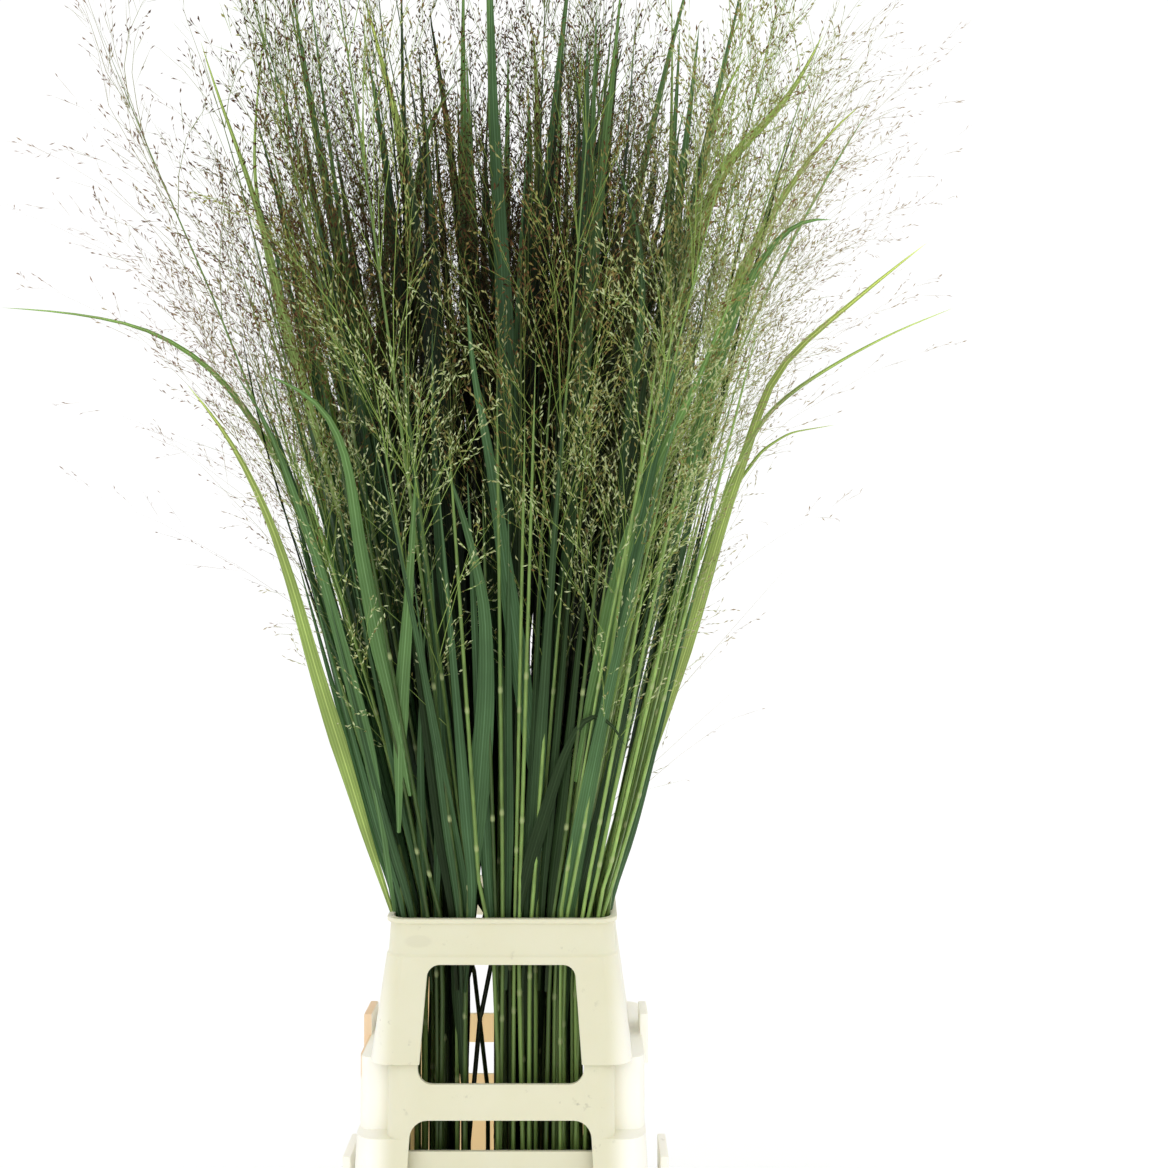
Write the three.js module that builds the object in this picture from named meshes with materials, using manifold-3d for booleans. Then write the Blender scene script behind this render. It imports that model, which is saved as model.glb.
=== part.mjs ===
// Cut switchgrass standing in a flower bucket with two stacked collars.
// Millimetres, +Z up. The origin is the middle of the bucket's underside, and -Y is the front.
import * as THREE from "three";
import { mergeVertices } from "three/addons/utils/BufferGeometryUtils.js";
import Module from "manifold-3d";

const wasm = await Module();
wasm.setup();

// Driving dimensions of the bucket and its collars.
const rimZ = 400; // top of the upper collar
const collarSeatZ = 288; // where the upper collar sits on the lower one's side ledges
const ledgeZ = 231; // where the lower collar's set-back corners end
const bucketSeatZ = 152; // where the lower collar sits on the bucket's flange
const bucketRimZ = 218;
const wall = 3;
const seatGap = 0.4;

// Driving dimensions of the sheaf.
const stemCount = 36;
const sheafX = 78; // half width of the sheaf of culms in the collars
const sheafY = 69;
const fanX = 0.24; // how fast the culms spread above the rim
const fanY = 0.22;
const footZ = 4.4;
const waterZ = 64;
const sheafGapX = -14; // the sheaf parts here, and light shows through the windows
const whorls = 6; // of three branches each, up the panicle
const whorlTurn = 0.2; // each whorl stands this much further round than the one below

const goldenAngle = Math.PI * (3 - Math.sqrt(5));
const up = new THREE.Vector3(0, 0, 1);

// Colours read from the photograph.
const creamPlastic = new THREE.MeshStandardMaterial({ color: 0xe9e4c4, roughness: 0.55, metalness: 0 });
const grassGreen = new THREE.MeshStandardMaterial({ color: 0x55723f, roughness: 0.6, metalness: 0 });
const clearWater = new THREE.MeshStandardMaterial({ color: 0xb9cfc8, roughness: 0.1, metalness: 0 });

// A closed geometry becomes a solid that can be joined and cut.
function solidOf(geometry) {
  const bare = geometry.clone();
  bare.deleteAttribute("normal");
  bare.deleteAttribute("uv");
  const merged = mergeVertices(bare, 1e-4);
  return new wasm.Manifold(
    new wasm.Mesh({
      numProp: 3,
      vertProperties: new Float32Array(merged.attributes.position.array),
      triVerts: new Uint32Array(merged.index.array),
    }),
  );
}

function meshOf(name, solid, material) {
  const { vertProperties, triVerts } = solid.getMesh();
  const geometry = new THREE.BufferGeometry();
  geometry.setAttribute("position", new THREE.BufferAttribute(vertProperties, 3));
  geometry.setIndex(new THREE.BufferAttribute(triVerts, 1));
  geometry.computeVertexNormals();
  const mesh = new THREE.Mesh(geometry, material);
  mesh.name = name;
  return mesh;
}

// Two triangles over four corners, anticlockwise from outside, that meet in the diagonal that lies further
// out, so that the two sides of a thin twisted blade never cross.
function quad(points, a, b, c, d) {
  const [p, q, r, s] = [points[a], points[b], points[c], points[d]];
  const outward = r.clone().sub(p).cross(s.clone().sub(q));
  const fold = p.clone().add(r).sub(q).sub(s).dot(outward);
  return fold > -1e-6 ? [a, b, c, a, c, d] : [a, b, d, b, c, d];
}

// A skin over rings of equal count, closed by a flat fan at the start and by a fan or a point at the end.
function loft(rings, tip) {
  const count = rings[0].length;
  const points = rings.flat();
  const faces = [];
  for (let k = 0; k + 1 < rings.length; k++) {
    for (let i = 0; i < count; i++) {
      const a = k * count + i;
      const b = k * count + ((i + 1) % count);
      faces.push(...quad(points, a, b, b + count, a + count));
    }
  }
  for (let i = 1; i + 1 < count; i++) faces.push(0, i + 1, i);
  const last = (rings.length - 1) * count;
  if (tip) {
    points.push(tip);
    for (let i = 0; i < count; i++) faces.push(last + i, last + ((i + 1) % count), points.length - 1);
  } else {
    for (let i = 1; i + 1 < count; i++) faces.push(last, last + i, last + i + 1);
  }
  const geometry = new THREE.BufferGeometry().setFromPoints(points);
  geometry.setIndex(faces);
  return solidOf(geometry);
}

// A rounded rectangle at one height, anticlockwise seen from above.
const cornerSteps = 3;
function outline({ z, x, y, r }) {
  const ring = [];
  for (let corner = 0; corner < 4; corner++) {
    const sx = corner === 0 || corner === 3 ? 1 : -1;
    const sy = corner < 2 ? 1 : -1;
    for (let k = 0; k <= cornerSteps; k++) {
      const angle = (corner + k / cornerSteps) * (Math.PI / 2);
      ring.push(new THREE.Vector3(sx * (x - r) + r * Math.cos(angle), sy * (y - r) + r * Math.sin(angle), z));
    }
  }
  return ring;
}

const tower = (levels) => loft(levels.map(outline));

function box(x0, x1, y0, y1, z0, z1) {
  const geometry = new THREE.BoxGeometry(x1 - x0, y1 - y0, z1 - z0);
  geometry.translate((x0 + x1) / 2, (y0 + y1) / 2, (z0 + z1) / 2);
  return solidOf(geometry);
}

// A prism that cuts the front and back walls alike. Its corners are [x, z, radius], and it is even about x = 0.
function windowCutter(corners) {
  const reach = 130;
  const all = [...corners, ...corners.map(([x, z, r]) => [-x, z, r]).reverse()];
  const shape = new THREE.Shape();
  all.forEach(([x, z, r], i) => {
    const here = new THREE.Vector2(x, z);
    const before = new THREE.Vector2(...all[(i + all.length - 1) % all.length]);
    const after = new THREE.Vector2(...all[(i + 1) % all.length]);
    const start = here.clone().add(before.sub(here).setLength(r));
    const end = here.clone().add(after.sub(here).setLength(r));
    if (i === 0) shape.moveTo(start.x, start.y);
    else shape.lineTo(start.x, start.y);
    if (r > 0) shape.quadraticCurveTo(here.x, here.y, end.x, end.y);
  });
  shape.closePath();
  const prism = new THREE.ExtrudeGeometry(shape, { depth: 2 * reach, bevelEnabled: false, curveSegments: 3 });
  prism.translate(0, 0, -reach);
  prism.rotateX(Math.PI / 2);
  return solidOf(prism);
}

// The upper collar: a tapered sleeve with a lip, and a window open towards the lower collar.
function upperCollar() {
  const outside = tower([
    { z: collarSeatZ, x: 104, y: 91, r: 17 },
    { z: 370, x: 92.5, y: 81.5, r: 15 },
    { z: 371.5, x: 91, y: 80, r: 14 },
    { z: 395.5, x: 89.5, y: 78.5, r: 13 },
    { z: 396.5, x: 92, y: 81, r: 15 },
    { z: rimZ, x: 92, y: 81, r: 15 },
  ]);
  const inside = tower([
    { z: collarSeatZ - 1, x: 101.1, y: 88.1, r: 14 },
    { z: 370, x: 89.5, y: 78.5, r: 12 },
    { z: rimZ + 1, x: 86.5, y: 75.5, r: 10 },
  ]);
  const arch = windowCutter([
    [64.3, collarSeatZ - 8, 0],
    [58, 364, 9],
  ]);
  return outside.subtract(inside).subtract(arch);
}

// The lower collar: a neck inside the upper collar, set-back corners under it, and a full skirt over the bucket.
function lowerCollar() {
  const neckTop = 335;
  const sideLedge = collarSeatZ - seatGap;
  const neck = [
    { z: ledgeZ - 3, x: 90, y: 93.6, r: 12 },
    { z: collarSeatZ, x: 90, y: 86.7, r: 12 },
    { z: neckTop, x: 86, y: 81.25, r: 12 },
  ];
  const cheeks = [
    { z: ledgeZ - 3, x: 114, y: 74, r: 10 },
    { z: sideLedge, x: 114, y: 72, r: 10 },
  ];
  const skirt = [
    { z: bucketSeatZ, x: 118, y: 102.5, r: 18 },
    { z: ledgeZ, x: 114.5, y: 93.3, r: 15 },
  ];
  const thinned = (levels, z0, z1) =>
    tower(
      levels.map(({ z, x, y, r }, i) => ({
        z: i === 0 ? z0 : i === levels.length - 1 ? z1 : z,
        x: x - wall,
        y: y - wall,
        r: r - wall,
      })),
    );
  const grips = [1, -1].map((side) => {
    const from = side > 0 ? 112 : -119;
    return box(from, from + 7, -18, 18, 263, 305);
  });
  const outside = wasm.Manifold.union([tower(neck), tower(cheeks), tower(skirt), ...grips]);
  const inside = wasm.Manifold.union([
    thinned(neck, ledgeZ - 8, neckTop + 1),
    thinned(cheeks, ledgeZ - 8, sideLedge - wall),
    thinned(skirt, bucketSeatZ - 1, ledgeZ - wall),
  ]);
  const notch = windowCutter([
    [65, 272, 11],
    [63.8, 287, 0],
    [67, 290, 0],
    [67, neckTop + 2, 0],
  ]);
  const lowWindow = windowCutter([
    [74.5, 176, 12],
    [70.5, 245, 13],
  ]);
  return outside.subtract(inside).subtract(notch).subtract(lowWindow);
}

// The bucket: a tapered tub with a flange that carries the collars, and an upturned grip on each side.
const bucketInside = [
  { z: 4, x: 86, y: 76, r: 19 },
  { z: bucketRimZ + 1, x: 91, y: 82, r: 25 },
];

function bucket() {
  const flangeTop = bucketSeatZ - seatGap;
  const outside = tower([
    { z: 0, x: 88, y: 78, r: 22 },
    { z: 3, x: 90, y: 80, r: 23 },
    { z: 145, x: 99, y: 89, r: 26 },
    { z: 147, x: 118, y: 103, r: 24 },
    { z: flangeTop, x: 118, y: 103, r: 24 },
    { z: flangeTop + 0.5, x: 97, y: 88, r: 28 },
    { z: bucketRimZ, x: 94, y: 85, r: 28 },
  ]);
  const grips = [1, -1].flatMap((side) => {
    const arm = side > 0 ? 109 : -136;
    const tab = side > 0 ? 129 : -136;
    return [box(arm, arm + 27, -24, 24, 145.5, 150.5), box(tab, tab + 7, -24, 24, 145.5, 188)];
  });
  return wasm.Manifold.union([outside, ...grips]).subtract(tower(bucketInside));
}

// A small seeded random source: one for each stem, so that every build gives the same sheaf.
function randomFor(stem) {
  let state = Math.imul(stem + 1, 2654435761) >>> 0;
  return () => {
    state = (Math.imul(state, 1664525) + 1013904223) >>> 0;
    return state / 4294967296;
  };
}

// The culms stand on a sunflower spiral, pressed into the collar's rounded rectangle and parted at the gap.
const places = Array.from({ length: stemCount }, (_, i) => {
  const angle = i * goldenAngle;
  const [c, s] = [Math.cos(angle), Math.sin(angle)];
  const r = Math.sqrt((i + 0.5) / stemCount) / (c ** 4 + s ** 4) ** 0.25;
  const part = 0.14;
  const [u, v] = [r * c, r * s];
  return { u: (u + part * Math.tanh(7 * (u + 0.2))) / (1 + part), v };
});

const rise = (z) => Math.max(0, z - rimZ);
const spreadX = (z) => sheafX + fanX * rise(z);
const spreadY = (z) => sheafY + fanY * rise(z);

// Every stem keeps to a tapered cell of its own. The planes a*x + b*y <= c that bound it at one height.
const cellMargin = 0.012;
function cellPlanes(i, z) {
  const { u, v } = places[i];
  const planes = places
    .filter((_, j) => j !== i)
    .map((other) => {
      const [du, dv] = [other.u - u, other.v - v];
      const far = Math.hypot(du, dv);
      const limit = far / 2 - cellMargin + (u * du + v * dv) / far;
      return [du / far / spreadX(z), dv / far / spreadY(z), limit];
    });
  if (z <= rimZ + 1) {
    const side = u * sheafX < sheafGapX ? 1 : -1;
    planes.push([1, 0, 81.5], [-1, 0, 81.5], [0, 1, 73], [0, -1, 73]);
    for (const [a, b] of [[1, 1], [1, -1], [-1, 1], [-1, -1]]) planes.push([a, b, 141]);
    planes.push([side, 0, side * sheafGapX - 7]);
  }
  return planes;
}

// Moves a cross-section towards the stem's axis, and narrows it, until all its points lie in the stem's cell.
function keepInCell(i, axis, centre, offsets) {
  const away = centre.clone().sub(axis);
  for (let narrow = 1; ; narrow *= 0.85) {
    let share = 1;
    let short = false;
    for (const offset of offsets) {
      for (const [a, b, c] of cellPlanes(i, centre.z + offset.z * narrow)) {
        const room = c - a * (axis.x + offset.x * narrow) - b * (axis.y + offset.y * narrow);
        const need = a * away.x + b * away.y;
        if (room < 0) short = true;
        else if (need * share > room) share = room / need;
      }
    }
    if (!short || narrow < 0.25) {
      const middle = axis.clone().addScaledVector(away, share);
      return { middle, ring: offsets.map((offset) => middle.clone().addScaledVector(offset, narrow)) };
    }
  }
}

const culmRadius = 3;
const culmSides = [0, 1, 2, 3].map((quarter) => {
  const angle = (quarter * Math.PI) / 2;
  return new THREE.Vector3(Math.cos(angle) * culmRadius, Math.sin(angle) * culmRadius, 0);
});

// The culm's line: upright in the collars, fanned out above them, and bowed outwards in the outer stems.
function culmPoint(i, shape, z) {
  const { u, v } = places[i];
  const t = rise(z) / 800;
  const bow = shape.bow * t * t * Math.hypot(u, v) ** 3;
  const sway = shape.sway * Math.sin(Math.PI * Math.min(1, t * 1.3));
  const axis = new THREE.Vector3(u * spreadX(z), v * spreadY(z), z);
  const bent = new THREE.Vector3(bow * u, bow * v, 0);
  bent.x += sway * Math.cos(shape.swayAngle);
  bent.y += sway * Math.sin(shape.swayAngle);
  return keepInCell(i, axis, bent.add(axis), culmSides).middle;
}

// The leaves that stand out at the sheaf's sides, as they lie in the photograph. Facing is in radians.
const left = Math.PI;
const seenLeaves = [
  { stem: 25, leaf: 0, facing: left + 0.1, from: 404, length: 480, width: 14, lean: 0.06, bend: 0.2 },
  { stem: 33, leaf: 1, facing: left + 0.45, from: 560, length: 330, width: 13, lean: 0.02, bend: 0.25 },
  { stem: 30, leaf: 1, facing: left - 0.1, from: 670, length: 380, width: 8, lean: 0.45, bend: 0.5 },
  { stem: 22, leaf: 2, facing: left - 0.4, from: 700, length: 480, width: 13, lean: 0.03, bend: 0.05 },
  { stem: 34, leaf: 1, facing: 0.02, from: 500, length: 510, width: 13, lean: 0.03, bend: 0.36 },
  { stem: 34, leaf: 2, facing: -0.15, from: 700, length: 310, width: 8, lean: 0.48, bend: 0.28 },
  { stem: 16, leaf: 2, facing: 0.35, from: 720, length: 470, width: 13, lean: 0.03, bend: 0.2 },
  { stem: 21, leaf: 2, facing: 0.1, from: 780, length: 370, width: 8, lean: 0.32, bend: 0.6 },
  { stem: 26, leaf: 2, facing: -0.25, from: 760, length: 330, width: 18, lean: 0.02, bend: 0.65 },
  { stem: 28, leaf: 1, facing: left + 1.2, from: 410, length: 480, width: 18, lean: 0.06, bend: 0.1 },
  { stem: 23, leaf: 1, facing: left + 1, from: 500, length: 480, width: 15, lean: 0.1, bend: 0.05 },
];

// What sets one stem apart from the next. The draws come in this order.
function stemShape(i) {
  const random = randomFor(i);
  const between = (low, high) => low + (high - low) * random();
  const { u, v } = places[i];
  const outer = Math.min(1, Math.hypot(u, v));
  const shape = {
    bow: between(30, 75),
    sway: between(0, 9),
    swayAngle: between(0, 2 * Math.PI),
    panicleLength: between(370, 450),
    top: between(1040, 1260) - 60 * outer * outer,
    outward: Math.atan2(v, u) + between(-0.5, 0.5),
  };
  shape.panicleZ = shape.top - shape.panicleLength;
  // The leaves stand over the edges of the three-sided culm, and so between the branches, which stand on its faces.
  shape.turn = shape.outward - 2 * whorlTurn;
  const roots = [between(190, 330), between(410, 540), shape.panicleZ - between(60, 160)];
  const across = between(0, 1) < 0.5 ? 1 : -1;
  shape.leaves = roots.map((root, k) => ({
    from: Math.min(root, shape.panicleZ - 40),
    facing: shape.outward + (k % 2) * across * ((2 * Math.PI) / 3) + between(-0.2, 0.2),
    length: between(410, 570),
    width: between(12, 17),
    lean: between(0.03, 0.08),
    bend: between(0.05, 0.15) + (k === 0 ? 0 : outer ** 3 * between(0, 0.3)),
    twist: between(-0.9, 0.9),
  }));
  shape.branches = Array.from({ length: 3 * whorls }, (_, k) => {
    const along = (Math.floor(k / 3) + 0.05) / whorls;
    return {
      length: shape.panicleLength * (0.22 + 0.36 * (1 - along)) * between(0.8, 1.15),
      lean: between(0.26, 0.46),
      bend: between(0.1, 0.35) + 0.25 * outer ** 3,
    };
  });
  for (const { stem, leaf, ...seen } of seenLeaves) {
    if (stem === i) Object.assign(shape.leaves[leaf], seen);
  }
  return shape;
}

// A line that leaves the culm at a lean and bends over towards its tip, in fine steps.
const lineSteps = 24;
function bentLine(i, shape, from, { facing, length, lean, bend }) {
  const heading = new THREE.Vector3(Math.cos(facing), Math.sin(facing), 0);
  const points = [];
  let out = 0;
  let z = from;
  for (let k = 0; k <= lineSteps; k++) {
    const angle = lean + bend * 1.6 * (k / lineSteps) ** 1.5;
    const direction = up.clone().multiplyScalar(Math.cos(angle)).addScaledVector(heading, Math.sin(angle));
    const axis = culmPoint(i, shape, z);
    points.push({ axis, at: axis.clone().addScaledVector(heading, out), direction, share: k / lineSteps });
    out += (Math.sin(angle) * length) / lineSteps;
    z += (Math.cos(angle) * length) / lineSteps;
  }
  return points;
}

// A leaf blade: flat above, keeled below, tapering to a point. A leaf from inside the collars has a
// cross-section at their rim, where its cell begins to widen.
const bladeSteps = [0, 3, 9, 15, 20, 24];
function leafSolid(i, shape, leaf) {
  const heading = new THREE.Vector3(Math.cos(leaf.facing), Math.sin(leaf.facing), 0);
  const line = bentLine(i, shape, leaf.from, leaf);
  const steps = [...bladeSteps];
  const rimStep = line.findIndex(({ at }) => at.z > rimZ);
  if (rimStep > 0) {
    const distances = steps.map((step, k) => (k === 0 ? Infinity : Math.abs(step - rimStep)));
    steps[distances.indexOf(Math.min(...distances))] = rimStep;
    line[rimStep].axis.copy(culmPoint(i, shape, rimZ));
    line[rimStep].at.z = rimZ;
  }
  const sections = steps.map((step) => {
    const { axis, at, direction, share } = line[step];
    if (share === 1) return keepInCell(i, axis, at, [new THREE.Vector3()]).middle;
    const side = new THREE.Vector3().crossVectors(up, heading);
    side.applyAxisAngle(direction, leaf.twist * share);
    const under = new THREE.Vector3().crossVectors(direction, side);
    const half = (leaf.width / 2) * Math.min(0.2 + 5.2 * share, 1, 0.25 + 1.5 * (1 - share));
    const keel = 0.7 + 0.9 * (1 - share);
    const offsets = [side.clone().multiplyScalar(half), side.clone().multiplyScalar(-half)];
    return keepInCell(i, axis, at, [...offsets, under.multiplyScalar(-keel)]).ring;
  });
  return loft(sections.slice(0, -1), sections[sections.length - 1]);
}

// The culm, its rachis and the panicle's branches in one skin. Each branch grows out of a facet of the
// three-sided rachis: a hair-thin stalk that swells where its spikelets hang, and a pointed end.
function culmSolid(i, shape) {
  const { panicleZ, panicleLength, top, turn } = shape;
  const nodeHeight = 3;
  const levels = [
    { z: footZ, radius: 2.9, twist: turn },
    { z: rimZ, radius: 2.8, twist: turn },
    { z: (rimZ + panicleZ) / 2, radius: 2.5, twist: turn },
  ];
  for (let k = 0; k < whorls; k++) {
    const z = panicleZ + ((k + 0.05) / whorls) * panicleLength;
    const radius = 1.9 - (1.1 * k) / whorls;
    const twist = turn + k * whorlTurn;
    levels.push({ z, radius, twist, whorl: k }, { z: z + nodeHeight, radius, twist });
  }
  const points = [];
  const faces = [];
  for (const { z, radius, twist } of levels) {
    const offsets = [0, 1, 2].map((corner) => {
      const angle = twist + (corner * 2 * Math.PI) / 3;
      return new THREE.Vector3(Math.cos(angle) * radius, Math.sin(angle) * radius, 0);
    });
    const middle = culmPoint(i, shape, z);
    points.push(...offsets.map((offset) => offset.add(middle)));
  }
  const tip = points.push(culmPoint(i, shape, top)) - 1;
  faces.push(0, 2, 1);
  levels.forEach(({ z, twist, whorl }, k) => {
    for (let corner = 0; corner < 3; corner++) {
      const [a, b] = [3 * k + corner, 3 * k + ((corner + 1) % 3)];
      if (k === levels.length - 1) {
        faces.push(a, b, tip);
        continue;
      }
      faces.push(a, b + 3, a + 3);
      if (whorl === undefined) {
        faces.push(a, b, b + 3);
        continue;
      }
      const branch = { ...shape.branches[3 * whorl + corner], facing: twist + ((2 * corner + 1) * Math.PI) / 3 };
      growBranch(i, shape, z, branch, [a, b, b + 3], points, faces);
    }
  });
  const geometry = new THREE.BufferGeometry().setFromPoints(points);
  geometry.setIndex(faces);
  return solidOf(geometry);
}

const swellStep = 16;
const swellRadius = 1;
function growBranch(i, shape, z, branch, root, points, faces) {
  const line = bentLine(i, shape, z, branch);
  const [swell, end] = [line[swellStep], line[lineSteps]];
  const side = new THREE.Vector3(-Math.sin(branch.facing), Math.cos(branch.facing), 0);
  const over = new THREE.Vector3().crossVectors(swell.direction, side);
  const offsets = [7, 11, 3].map((twelfths) => {
    const angle = (twelfths * Math.PI) / 6;
    return side
      .clone()
      .multiplyScalar(Math.cos(angle) * swellRadius)
      .addScaledVector(over, Math.sin(angle) * swellRadius);
  });
  const first = points.push(...keepInCell(i, swell.axis, swell.at, offsets).ring) - 3;
  const tip = points.push(keepInCell(i, end.axis, end.at, [new THREE.Vector3()]).middle) - 1;
  for (let k = 0; k < 3; k++) {
    const next = (k + 1) % 3;
    faces.push(...quad(points, root[k], root[next], first + next, first + k));
    faces.push(first + k, first + next, tip);
  }
}

function stemSolid(i) {
  const shape = stemShape(i);
  return wasm.Manifold.union([culmSolid(i, shape), ...shape.leaves.map((leaf) => leafSolid(i, shape, leaf))]);
}

// The water in the bucket, with a plain hole for each culm.
function water() {
  const body = tower([
    { z: footZ, x: 85.6, y: 75.6, r: 18.6 },
    { z: waterZ, x: 87, y: 77, r: 20 },
  ]);
  const holeRadius = 3.8;
  const holes = places.map((place, i) => {
    const { turn } = stemShape(i);
    const ring = (z) =>
      [0, 1, 2].map((corner) => {
        const angle = (corner * 2 * Math.PI) / 3 + turn;
        const x = place.u * sheafX + Math.cos(angle) * holeRadius;
        const y = place.v * sheafY + Math.sin(angle) * holeRadius;
        return new THREE.Vector3(x, y, z);
      });
    return loft([ring(footZ - 1), ring(waterZ + 1)]);
  });
  return body.subtract(wasm.Manifold.union(holes));
}

const part = new THREE.Group();
part.add(meshOf("bucket", bucket(), creamPlastic));
part.add(meshOf("lower_collar", lowerCollar(), creamPlastic));
part.add(meshOf("upper_collar", upperCollar(), creamPlastic));
part.add(meshOf("water", water(), clearWater));
for (let i = 0; i < stemCount; i++) {
  const name = "stem_" + String(i + 1).padStart(2, "0");
  part.add(meshOf(name, stemSolid(i), grassGreen));
}

export default part;
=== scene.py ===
# Cut switchgrass in a cream flower bucket with two stacked collars.
# The bucket and its collars come first, then the water, the grass stem by stem, and last the studio.
import math

import bmesh
import bpy
import numpy as np
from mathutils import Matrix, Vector


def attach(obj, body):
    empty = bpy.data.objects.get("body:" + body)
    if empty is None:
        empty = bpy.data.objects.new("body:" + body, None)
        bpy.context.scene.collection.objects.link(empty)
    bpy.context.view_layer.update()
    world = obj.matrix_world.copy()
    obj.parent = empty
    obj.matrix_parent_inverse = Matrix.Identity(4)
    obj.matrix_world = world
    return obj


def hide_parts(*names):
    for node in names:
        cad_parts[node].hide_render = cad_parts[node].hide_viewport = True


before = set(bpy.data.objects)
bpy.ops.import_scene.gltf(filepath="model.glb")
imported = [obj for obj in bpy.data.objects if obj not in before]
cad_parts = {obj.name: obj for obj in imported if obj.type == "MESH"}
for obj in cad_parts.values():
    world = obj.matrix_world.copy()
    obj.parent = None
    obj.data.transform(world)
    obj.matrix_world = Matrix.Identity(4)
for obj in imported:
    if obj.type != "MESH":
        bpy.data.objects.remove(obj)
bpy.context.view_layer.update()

mm = 0.001


# Upper collar
# The top of three stacked pieces of a flower bucket: a tapered sleeve of cream polypropylene, injection
# moulded 3 mm thick, with a beaded rim and a window in front and back. It drops over the lower collar.

def linear(code):
    """An sRGB hex colour as linear red, green, blue and alpha."""
    shares = [int(code[k:k + 2], 16) / 255 for k in (1, 3, 5)]
    return [s / 12.92 if s <= 0.04045 else ((s + 0.055) / 1.055) ** 2.4 for s in shares] + [1.0]


def add(tree, kind, settings={}):
    """Adds a node with these properties and sockets. A node or a (node, output) as a value is linked."""
    node = tree.nodes.new("ShaderNode" + kind)
    for name, value in settings.items():
        if isinstance(value, bpy.types.Node):
            value = (value, 2 if value.type == "MIX" else 0)
        if isinstance(value, tuple) and isinstance(value[0], bpy.types.Node):
            source, output = value
            tree.links.new(source.outputs[output], node.inputs[name])
        elif isinstance(name, str) and hasattr(node, name):
            setattr(node, name, value)
        else:
            node.inputs[name].default_value = value
    return node


def mixed(tree, share, first, second, blend="MIX"):
    """A mix of two colours."""
    return add(tree, "Mix", {"data_type": "RGBA", "blend_type": blend, 0: share, 6: first, 7: second})


def ranged(tree, value, low, high, top=1.0, bottom=0.0, steps="LINEAR"):
    """A share that goes from bottom to top while a value goes from low to high."""
    return add(tree, "MapRange", {"From Min": low, "From Max": high, "To Min": bottom, "To Max": top,
        "interpolation_type": steps, "Value": value})


def calc(tree, operation, *values):
    return add(tree, "Math", {"operation": operation, **dict(enumerate(values))})


def point_value(tree, name):
    """One of the values that a bunch's points carry."""
    return add(tree, "Attribute", {"attribute_name": name}), "Fac"


def new_material(name):
    """A material and its tree, with no nodes yet."""
    material = bpy.data.materials.new(name)
    material.use_nodes = True
    material.node_tree.nodes.clear()
    return material, material.node_tree


def select(piece=None):
    """Selects one piece alone, or nothing, so that an operator works on that piece or a new one alone."""
    for other in bpy.context.selected_objects:
        other.select_set(False)
    if piece:
        bpy.context.view_layer.objects.active = piece
        piece.select_set(True)


# Injection-moulded polypropylene, cream: satin, faintly translucent, mottled by handling, with grey scuffs
# and a few rubbed marks. Its spark-eroded grain is finer than a pixel, so it is drawn at 1.5 mm.
# Painted light whitens its sides and tans its left grip, and emissions stand in for light through its walls.
moulded_cream, tree = new_material("moulded cream polypropylene")
body_places = add(tree, "TexCoord")
place = (body_places, "Object")
clouds = add(tree, "TexNoise", {"Scale": 22.0, "Detail": 4.0, "Roughness": 0.55, "Vector": place})
cream = mixed(tree, clouds, linear("#e3dfbe"), linear("#ece9d0"))
# Painted light: the side walls and grips are painted nearly white in their base colour.
# The hollow side walls and grips have no stems behind them, so light comes through and they look white.
place_parts = add(tree, "SeparateXYZ", {"Vector": place})
side_far = calc(tree, "ABSOLUTE", (place_parts, "X"))
side_light_share = ranged(tree, side_far, 0.082, 0.104, 0.85, steps="SMOOTHSTEP")
cream = mixed(tree, side_light_share, cream, linear("#fffdf4"))
flecks = add(tree, "TexNoise", {"Scale": 130.0, "Detail": 3.0, "Roughness": 0.7, "Vector": place})
patches = add(tree, "TexNoise", {"Scale": 38.0, "Detail": 2.0, "Vector": place})
fleck_edge = ranged(tree, flecks, 0.6, 0.72)
patch_edge = ranged(tree, patches, 0.56, 0.68)
scuffs = calc(tree, "MULTIPLY", fleck_edge, patch_edge)
scuff_share = calc(tree, "MULTIPLY", scuffs, 0.45)
scuffed = mixed(tree, scuff_share, cream, linear("#8f8b76"))
# One rubbed oval, 24 by 12 mm, at the upper left of the front.
spot = add(tree, "Mapping", {"vector_type": "TEXTURE", "Location": (-0.066, -0.079, 0.382),
    "Scale": (0.012, 0.02, 0.0055), "Vector": place})
spot_far = add(tree, "VectorMath", {"operation": "LENGTH", 0: spot})
spot_edge = ranged(tree, (spot_far, "Value"), 1.05, 0.7, 0.13, steps="SMOOTHSTEP")
rubbed = mixed(tree, spot_edge, scuffed, linear("#a9a58c"))
# Painted light: the grip's tan is painted into the base colour.
# The lower collar's left grip is lit through from behind and looks tan.
left_grip = ranged(tree, (place_parts, "X"), -0.112, -0.113, 0.8)
grip_height = ranged(tree, (place_parts, "Z"), 0.268, 0.272)
grip_light_share = calc(tree, "MULTIPLY", left_grip, grip_height)
cream_with_grip_light = mixed(tree, grip_light_share, rubbed, linear("#e9c08a"))
gloss = ranged(tree, clouds, 0.0, 1.0, 0.6, 0.42)
grain = add(tree, "TexNoise", {"Scale": 660.0, "Detail": 2.0, "Vector": place})
relief = add(tree, "Bump", {"Strength": 0.12, "Distance": 0.0004, "Height": grain})
# Painted light: emission stands in for daylight through the thin back wall; its inner face glows warm tan.
facing_parts = add(tree, "SeparateXYZ", {"Vector": (body_places, "Normal")})
at_back = ranged(tree, (place_parts, "Y"), 0.03, 0.06)
inward = calc(tree, "MULTIPLY", (facing_parts, "Y"), at_back)
inner_share = ranged(tree, inward, -0.5, -0.9)
near_rim = ranged(tree, (place_parts, "Z"), 0.34, 0.358)
glow_tan = mixed(tree, near_rim, linear("#d0b286"), linear("#c6c1ac"))
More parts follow.
